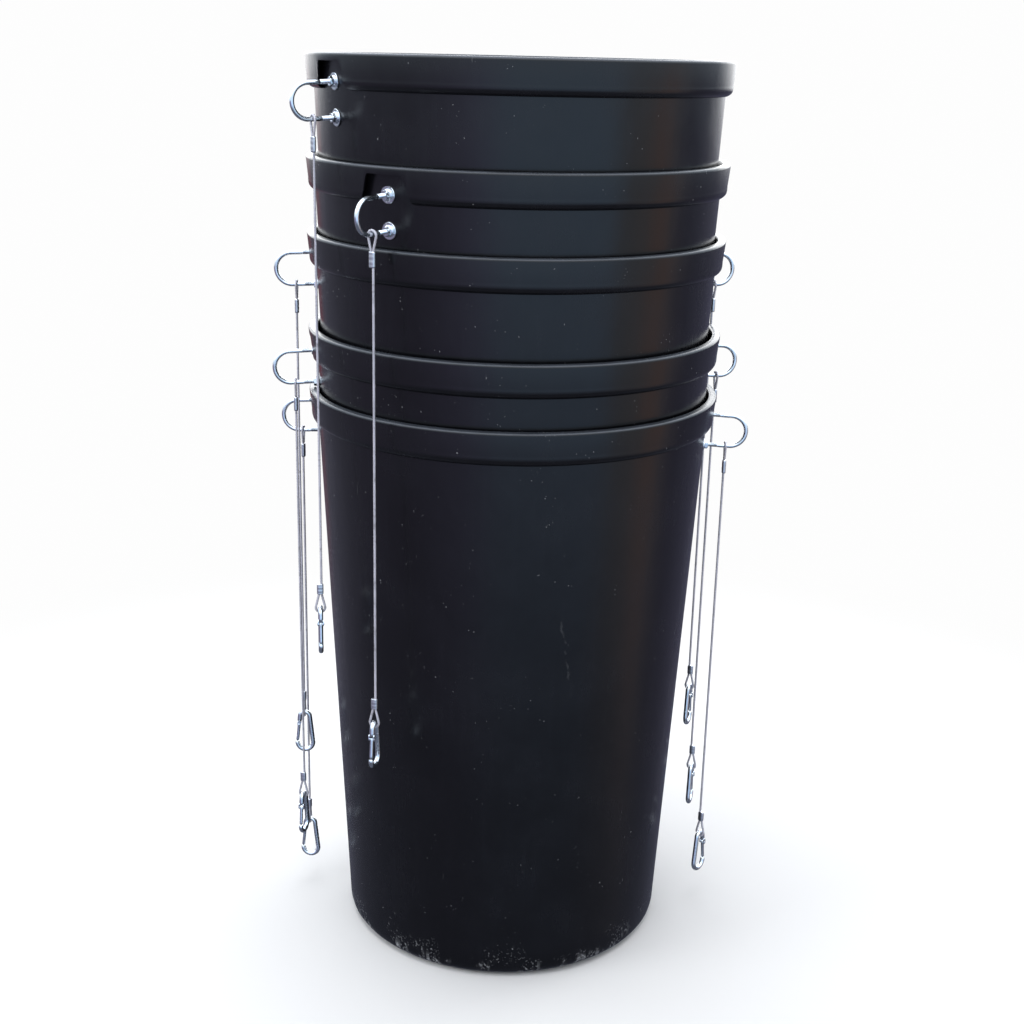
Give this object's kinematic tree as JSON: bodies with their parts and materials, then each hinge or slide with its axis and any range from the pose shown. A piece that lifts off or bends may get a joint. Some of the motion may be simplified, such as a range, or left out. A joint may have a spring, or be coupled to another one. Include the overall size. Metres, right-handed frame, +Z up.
{
  "type": "feed bucket",
  "caption": "Nest of tall tapered black plastic feed buckets with turned-over rims, side U-bolts, and coated wire slings ending in sprung snap hooks.",
  "frame": {"origin": "centre of the lowest bucket's underside, on the surface that the nest stands on", "axes": "+Z up through the middle of the nest, -Y towards the viewer who sees the front, +X to that viewer's right"},
  "size_m": [0.68, 0.58, 1.2719],
  "materials": {
    "black_plastic": "satin, lightly scuffed",
    "zinc_plate": "bright zinc plate",
    "dull_steel": "plain steel",
    "coated_wire": "wire rope in a pale clear coat"
  },
  "bodies": {
    "bucket_5": {"bucket_5": "black_plastic", "u_bolt_5a": "zinc_plate", "backing_plate_5a": "dull_steel", "u_bolt_5b": "zinc_plate", "backing_plate_5b": "dull_steel"},
    "sling_5a": {"wire_sling_5a": "coated_wire"},
    "hook_5a": {"snap_hook_5a": "zinc_plate"},
    "gate_5a": {"hook_gate_5a": "zinc_plate"},
    "sling_5b": {"wire_sling_5b": "coated_wire"},
    "hook_5b": {"snap_hook_5b": "zinc_plate"},
    "gate_5b": {"hook_gate_5b": "zinc_plate"},
    "bucket_4": {"bucket_4": "black_plastic", "u_bolt_4a": "zinc_plate", "backing_plate_4a": "dull_steel", "u_bolt_4b": "zinc_plate", "backing_plate_4b": "dull_steel"},
    "sling_4a": {"wire_sling_4a": "coated_wire"},
    "hook_4a": {"snap_hook_4a": "zinc_plate"},
    "gate_4a": {"hook_gate_4a": "zinc_plate"},
    "sling_4b": {"wire_sling_4b": "coated_wire"},
    "hook_4b": {"snap_hook_4b": "zinc_plate"},
    "gate_4b": {"hook_gate_4b": "zinc_plate"},
    "bucket_3": {"bucket_3": "black_plastic", "u_bolt_3a": "zinc_plate", "backing_plate_3a": "dull_steel", "u_bolt_3b": "zinc_plate", "backing_plate_3b": "dull_steel"},
    "sling_3a": {"wire_sling_3a": "coated_wire"},
    "hook_3a": {"snap_hook_3a": "zinc_plate"},
    "gate_3a": {"hook_gate_3a": "zinc_plate"},
    "sling_3b": {"wire_sling_3b": "coated_wire"},
    "hook_3b": {"snap_hook_3b": "zinc_plate"},
    "gate_3b": {"hook_gate_3b": "zinc_plate"},
    "bucket_2": {"bucket_2": "black_plastic", "u_bolt_2a": "zinc_plate", "backing_plate_2a": "dull_steel", "u_bolt_2b": "zinc_plate", "backing_plate_2b": "dull_steel"},
    "sling_2a": {"wire_sling_2a": "coated_wire"},
    "hook_2a": {"snap_hook_2a": "zinc_plate"},
    "gate_2a": {"hook_gate_2a": "zinc_plate"},
    "sling_2b": {"wire_sling_2b": "coated_wire"},
    "hook_2b": {"snap_hook_2b": "zinc_plate"},
    "gate_2b": {"hook_gate_2b": "zinc_plate"},
    "bucket_1": {"bucket_1": "black_plastic", "u_bolt_1a": "zinc_plate", "backing_plate_1a": "dull_steel", "u_bolt_1b": "zinc_plate", "backing_plate_1b": "dull_steel"},
    "sling_1a": {"wire_sling_1a": "coated_wire"},
    "hook_1a": {"snap_hook_1a": "zinc_plate"},
    "gate_1a": {"hook_gate_1a": "zinc_plate"},
    "sling_1b": {"wire_sling_1b": "coated_wire"},
    "hook_1b": {"snap_hook_1b": "zinc_plate"},
    "gate_1b": {"hook_gate_1b": "zinc_plate"}
  },
  "joints": [
    {"name": "swing_sling_5a", "type": "hinge", "parent": "bucket_5", "child": "sling_5a", "pos_m": [-0.30731, 0.0323, 0.74404], "axis": [0.1045, 0.9945, 0], "range_deg": [0, 55]},
    {"name": "swing_hook_5a", "type": "hinge", "parent": "sling_5a", "child": "hook_5a", "pos_m": [-0.30731, 0.0323, 0.096], "axis": [0.1045, 0.9945, 0], "range_deg": [0, 55]},
    {"name": "open_gate_5a", "type": "hinge", "parent": "hook_5a", "child": "gate_5a", "pos_m": [-0.31617, 0.03323, 0.0811], "axis": [-0.1045, -0.9945, 0], "range_deg": [0, 24], "stiffness_Nm_per_rad": 0.2, "springref_deg": -20.05},
    {"name": "swing_sling_5b", "type": "hinge", "parent": "bucket_5", "child": "sling_5b", "pos_m": [0.30895, -0.00539, 0.74404], "axis": [-0.0175, -0.9998, 0], "range_deg": [0, 55]},
    {"name": "swing_hook_5b", "type": "hinge", "parent": "sling_5b", "child": "hook_5b", "pos_m": [0.30895, -0.00539, 0.108], "axis": [0.7431, -0.6691, 0], "range_deg": [0, 55]},
    {"name": "open_gate_5b", "type": "hinge", "parent": "hook_5b", "child": "gate_5b", "pos_m": [0.31491, 0.00123, 0.0931], "axis": [-0.7431, 0.6691, 0], "range_deg": [0, 24], "stiffness_Nm_per_rad": 0.2, "springref_deg": -20.05},
    {"name": "lift_bucket_4", "type": "slide", "parent": "bucket_5", "child": "bucket_4", "axis": [0, 0, 1], "range_m": [0, 0.735]},
    {"name": "swing_sling_4a", "type": "hinge", "parent": "bucket_4", "child": "sling_4a", "pos_m": [-0.30599, -0.043, 0.831], "axis": [-0.1392, 0.9903, 0], "range_deg": [0, 55]},
    {"name": "swing_hook_4a", "type": "hinge", "parent": "sling_4a", "child": "hook_4a", "pos_m": [-0.30599, -0.043, 0.17997], "axis": [-0.9613, 0.2756, 0], "range_deg": [0, 55]},
    {"name": "open_gate_4a", "type": "hinge", "parent": "hook_4a", "child": "gate_4a", "pos_m": [-0.30845, -0.05157, 0.16507], "axis": [0.9613, -0.2756, 0], "range_deg": [0, 24], "stiffness_Nm_per_rad": 0.2, "springref_deg": -20.05},
    {"name": "swing_sling_4b", "type": "hinge", "parent": "bucket_4", "child": "sling_4b", "pos_m": [0.29982, 0.07475, 0.831], "axis": [0.2419, -0.9703, 0], "range_deg": [0, 55]},
    {"name": "swing_hook_4b", "type": "hinge", "parent": "sling_4b", "child": "hook_4b", "pos_m": [0.29982, 0.07475, 0.18297], "axis": [0.9511, -0.309, 0], "range_deg": [0, 55]},
    {"name": "open_gate_4b", "type": "hinge", "parent": "hook_4b", "child": "gate_4b", "pos_m": [0.30257, 0.08323, 0.16807], "axis": [-0.9511, 0.309, 0], "range_deg": [0, 24], "stiffness_Nm_per_rad": 0.2, "springref_deg": -20.05},
    {"name": "lift_bucket_3", "type": "slide", "parent": "bucket_4", "child": "bucket_3", "axis": [0, 0, 1], "range_m": [0, 0.691]},
    {"name": "swing_sling_3a", "type": "hinge", "parent": "bucket_3", "child": "sling_3a", "pos_m": [-0.30895, 0.00539, 0.96197], "axis": [0.0175, 0.9998, 0], "range_deg": [0, 55]},
    {"name": "swing_hook_3a", "type": "hinge", "parent": "sling_3a", "child": "hook_3a", "pos_m": [-0.30895, 0.00539, 0.29293], "axis": [0.0175, 0.9998, 0], "range_deg": [0, 55]},
    {"name": "open_gate_3a", "type": "hinge", "parent": "hook_3a", "child": "gate_3a", "pos_m": [-0.31786, 0.00555, 0.27803], "axis": [-0.0175, -0.9998, 0], "range_deg": [0, 24], "stiffness_Nm_per_rad": 0.2, "springref_deg": -20.05},
    {"name": "swing_sling_3b", "type": "hinge", "parent": "bucket_3", "child": "sling_3b", "pos_m": [0.29217, 0.1006, 0.96197], "axis": [0.3256, -0.9455, 0], "range_deg": [0, 55]},
    {"name": "swing_hook_3b", "type": "hinge", "parent": "sling_3b", "child": "hook_3b", "pos_m": [0.29217, 0.1006, 0.30993], "axis": [0.9205, -0.3907, 0], "range_deg": [0, 55]},
    {"name": "open_gate_3b", "type": "hinge", "parent": "hook_3b", "child": "gate_3b", "pos_m": [0.29565, 0.1088, 0.29503], "axis": [-0.9205, 0.3907, 0], "range_deg": [0, 24], "stiffness_Nm_per_rad": 0.2, "springref_deg": -20.05},
    {"name": "lift_bucket_2", "type": "slide", "parent": "bucket_3", "child": "bucket_2", "axis": [0, 0, 1], "range_m": [0, 0.72]},
    {"name": "swing_sling_2a", "type": "hinge", "parent": "bucket_2", "child": "sling_2a", "pos_m": [-0.17724, -0.25312, 1.06394], "axis": [-0.8192, 0.5736, 0], "range_deg": [0, 55]},
    {"name": "swing_hook_2a", "type": "hinge", "parent": "sling_2a", "child": "hook_2a", "pos_m": [-0.17724, -0.25312, 0.3979], "axis": [-0.9511, 0.309, 0], "range_deg": [0, 55]},
    {"name": "open_gate_2a", "type": "hinge", "parent": "hook_2a", "child": "gate_2a", "pos_m": [-0.17999, -0.26159, 0.383], "axis": [0.9511, -0.309, 0], "range_deg": [0, 24], "stiffness_Nm_per_rad": 0.2, "springref_deg": -20.05},
    {"name": "swing_sling_2b", "type": "hinge", "parent": "bucket_2", "child": "sling_2b", "pos_m": [0.17724, 0.25312, 1.06394], "axis": [0.8192, -0.5736, 0], "range_deg": [0, 55]},
    {"name": "swing_hook_2b", "type": "hinge", "parent": "sling_2b", "child": "hook_2b", "pos_m": [0.17724, 0.25312, 0.4239], "axis": [0.8192, -0.5736, 0], "range_deg": [0, 55]},
    {"name": "open_gate_2b", "type": "hinge", "parent": "hook_2b", "child": "gate_2b", "pos_m": [0.18235, 0.26042, 0.409], "axis": [-0.8192, 0.5736, 0], "range_deg": [0, 24], "stiffness_Nm_per_rad": 0.2, "springref_deg": -20.05},
    {"name": "lift_bucket_1", "type": "slide", "parent": "bucket_2", "child": "bucket_1", "axis": [0, 0, 1], "range_m": [0, 0.69]},
    {"name": "swing_sling_1a", "type": "hinge", "parent": "bucket_1", "child": "sling_1a", "pos_m": [-0.25915, -0.16829, 1.1959], "axis": [-0.5446, 0.8387, 0], "range_deg": [0, 55]},
    {"name": "swing_hook_1a", "type": "hinge", "parent": "sling_1a", "child": "hook_1a", "pos_m": [-0.25915, -0.16829, 0.52987], "axis": [-0.9903, -0.1392, 0], "range_deg": [0, 55]},
    {"name": "open_gate_1a", "type": "hinge", "parent": "hook_1a", "child": "gate_1a", "pos_m": [-0.25791, -0.17711, 0.51497], "axis": [0.9903, 0.1392, 0], "range_deg": [0, 24], "stiffness_Nm_per_rad": 0.2, "springref_deg": -20.05},
    {"name": "swing_sling_1b", "type": "hinge", "parent": "bucket_1", "child": "sling_1b", "pos_m": [0.25915, 0.16829, 1.1959], "axis": [0.5446, -0.8387, 0], "range_deg": [0, 55]},
    {"name": "swing_hook_1b", "type": "hinge", "parent": "sling_1b", "child": "hook_1b", "pos_m": [0.25915, 0.16829, 0.55587], "axis": [0.5446, -0.8387, 0], "range_deg": [0, 55]},
    {"name": "open_gate_1b", "type": "hinge", "parent": "hook_1b", "child": "gate_1b", "pos_m": [0.26662, 0.17314, 0.54097], "axis": [-0.5446, 0.8387, 0], "range_deg": [0, 24], "stiffness_Nm_per_rad": 0.2, "springref_deg": -20.05}
  ]
}
